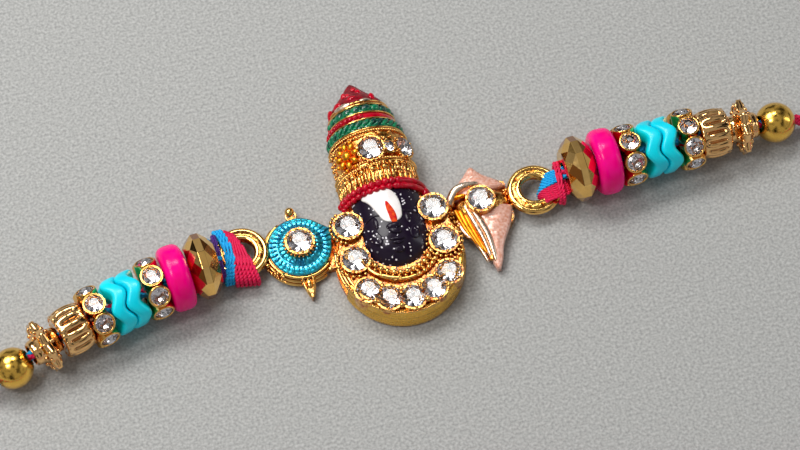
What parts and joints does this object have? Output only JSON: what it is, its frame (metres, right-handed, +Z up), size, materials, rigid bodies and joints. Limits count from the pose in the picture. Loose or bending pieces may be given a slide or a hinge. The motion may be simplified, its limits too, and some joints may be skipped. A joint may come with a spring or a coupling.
{
  "type": "rakhi thread bracelet",
  "caption": "Thread bracelet whose cast and enamelled crowned-face pendant sits between short strings of metal, glass and stone-set beads, closed by a knotted cord.",
  "frame": {"origin": "on the flat back of the pendant, behind the middle of the face, on the table that the bracelet lies on", "axes": "+Z up from the table, +X along the string of beads to the viewer's right, +Y to the tip of the pendant's crown"},
  "size_m": [0.1201, 0.065, 0.0084],
  "materials": {
    "gold_casting": "gold-plated cast metal, polished",
    "black_enamel": "glossy black enamel with fine glitter",
    "white_enamel": "glossy white enamel",
    "orange_enamel": "glossy orange-red enamel",
    "green_enamel": "glossy green enamel",
    "red_enamel": "glossy red enamel",
    "teal_enamel": "metallic teal enamel",
    "rose_enamel": "pearly rose enamel",
    "clear_stone": "cut clear stone, foil-backed",
    "gold_bead": "bright gold-plated bead",
    "rose_gold_bead": "rose-gold plated bead",
    "pink_glass": "glossy pink bead",
    "turquoise_bead": "glossy turquoise washer",
    "blue_thread": "blue thread",
    "magenta_thread": "magenta thread",
    "twisted_thread": "blue and magenta twisted thread"
  },
  "bodies": {
    "root": {"pendant_casting": "gold_casting", "face_enamel": "black_enamel", "forehead_mark_white": "white_enamel", "forehead_mark_red": "orange_enamel", "crown_band_green_lower": "green_enamel", "crown_band_red": "red_enamel", "crown_band_green_upper": "green_enamel", "crown_bud_enamel": "red_enamel", "brow_band": "red_enamel", "disc_enamel": "teal_enamel", "shell_enamel_upper": "rose_enamel", "shell_enamel_lower": "rose_enamel", "ear_stone_left": "clear_stone", "ear_stone_right": "clear_stone", "shoulder_stone_left": "clear_stone", "shoulder_stone_right": "clear_stone", "row_stone_1": "clear_stone", "row_stone_2": "clear_stone", "row_stone_3": "clear_stone", "row_stone_4": "clear_stone", "row_stone_5": "clear_stone", "crown_stone_centre": "clear_stone", "crown_stone_small": "clear_stone", "crown_stone_side": "clear_stone", "disc_stone": "clear_stone", "shell_stone": "clear_stone", "left_faceted_bead": "gold_bead", "left_pink_bead": "pink_glass", "left_inner_rondelle": "gold_bead", "left_inner_rondelle_stones": "clear_stone", "left_wavy_disc_inner": "turquoise_bead", "left_wavy_disc_outer": "turquoise_bead", "left_outer_rondelle": "gold_bead", "left_outer_rondelle_stones": "clear_stone", "left_ribbed_bead": "rose_gold_bead", "left_flanged_spacer": "rose_gold_bead", "left_ball_bead": "gold_bead", "right_faceted_bead": "gold_bead", "right_pink_bead": "pink_glass", "right_inner_rondelle": "gold_bead", "right_inner_rondelle_stones": "clear_stone", "right_wavy_disc_inner": "turquoise_bead", "right_wavy_disc_outer": "turquoise_bead", "right_outer_rondelle": "gold_bead", "right_outer_rondelle_stones": "clear_stone", "right_ribbed_bead": "rose_gold_bead", "right_flanged_spacer": "rose_gold_bead", "right_ball_bead": "gold_bead", "left_hitch_blue": "blue_thread", "left_hitch_magenta": "magenta_thread", "right_hitch_blue": "blue_thread", "right_hitch_magenta": "magenta_thread", "right_hitch_bar": "magenta_thread", "left_strand": "twisted_thread", "right_strand": "twisted_thread", "tie_cord": "twisted_thread", "tie_knot": "twisted_thread"}
  },
  "joints": []
}
